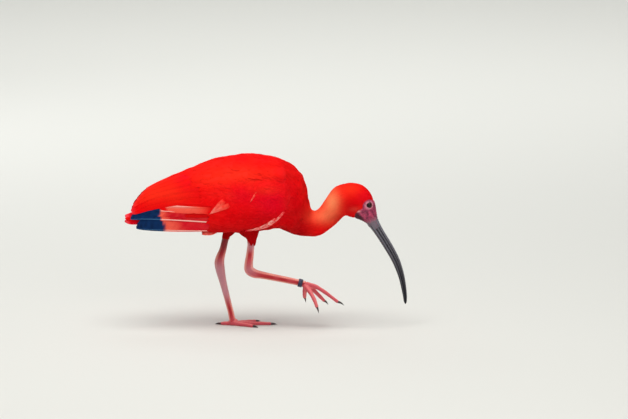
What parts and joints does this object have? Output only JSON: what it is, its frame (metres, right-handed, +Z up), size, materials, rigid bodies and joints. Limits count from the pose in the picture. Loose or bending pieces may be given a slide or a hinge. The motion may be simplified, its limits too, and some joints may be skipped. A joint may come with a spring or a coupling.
{
  "type": "scarlet ibis",
  "caption": "Life-size scarlet ibis, walking with its head low, long curved bill near the ground and the near foot lifted; folded wings and a small leg ring.",
  "frame": {"origin": "on the ground, under the middle of the box that holds the whole bird", "axes": "+X the way the bird faces, +Y its left side, +Z up"},
  "size_m": [0.4286, 0.1172, 0.2644],
  "materials": {
    "scarlet_plumage": "matte",
    "orange_plumage": "matte",
    "salmon_plumage": "satin",
    "navy_plumage": "satin",
    "leg_skin": "satin",
    "bill_horn": "satin",
    "claw_horn": "satin",
    "eye": "gloss",
    "leg_ring": "satin"
  },
  "bodies": {
    "root": {"trunk": "scarlet_plumage", "neck_lower": "orange_plumage", "neck_middle": "orange_plumage", "neck_upper": "orange_plumage", "head": "scarlet_plumage", "eye_right": "eye", "eye_left": "eye", "bill_upper": "bill_horn", "bill_lower": "bill_horn", "tail": "scarlet_plumage", "wing_right_scapulars": "scarlet_plumage", "wing_right_shoulder": "scarlet_plumage", "wing_right_coverts": "scarlet_plumage", "wing_right_secondaries": "scarlet_plumage", "wing_right_tertials": "orange_plumage", "wing_right_primaries": "salmon_plumage", "wing_right_tip": "navy_plumage", "wing_left_scapulars": "scarlet_plumage", "wing_left_shoulder": "scarlet_plumage", "wing_left_coverts": "scarlet_plumage", "wing_left_secondaries": "scarlet_plumage", "wing_left_tertials": "orange_plumage", "wing_left_primaries": "salmon_plumage", "wing_left_tip": "navy_plumage", "thigh_right": "scarlet_plumage", "thigh_left": "scarlet_plumage", "shank_right": "leg_skin", "shank_left": "leg_skin", "hock_right": "leg_skin", "hock_left": "leg_skin", "tarsus_right": "leg_skin", "tarsus_left": "leg_skin", "foot_right": "leg_skin", "foot_left": "leg_skin", "toe_middle_right": "leg_skin", "toe_inner_right": "leg_skin", "toe_outer_right": "leg_skin", "toe_hind_right": "leg_skin", "toe_middle_left": "leg_skin", "toe_inner_left": "leg_skin", "toe_outer_left": "leg_skin", "toe_hind_left": "leg_skin", "claw_middle_right": "claw_horn", "claw_inner_right": "claw_horn", "claw_outer_right": "claw_horn", "claw_hind_right": "claw_horn", "claw_middle_left": "claw_horn", "claw_inner_left": "claw_horn", "claw_outer_left": "claw_horn", "claw_hind_left": "claw_horn", "leg_ring_right": "leg_ring"}
  },
  "joints": []
}
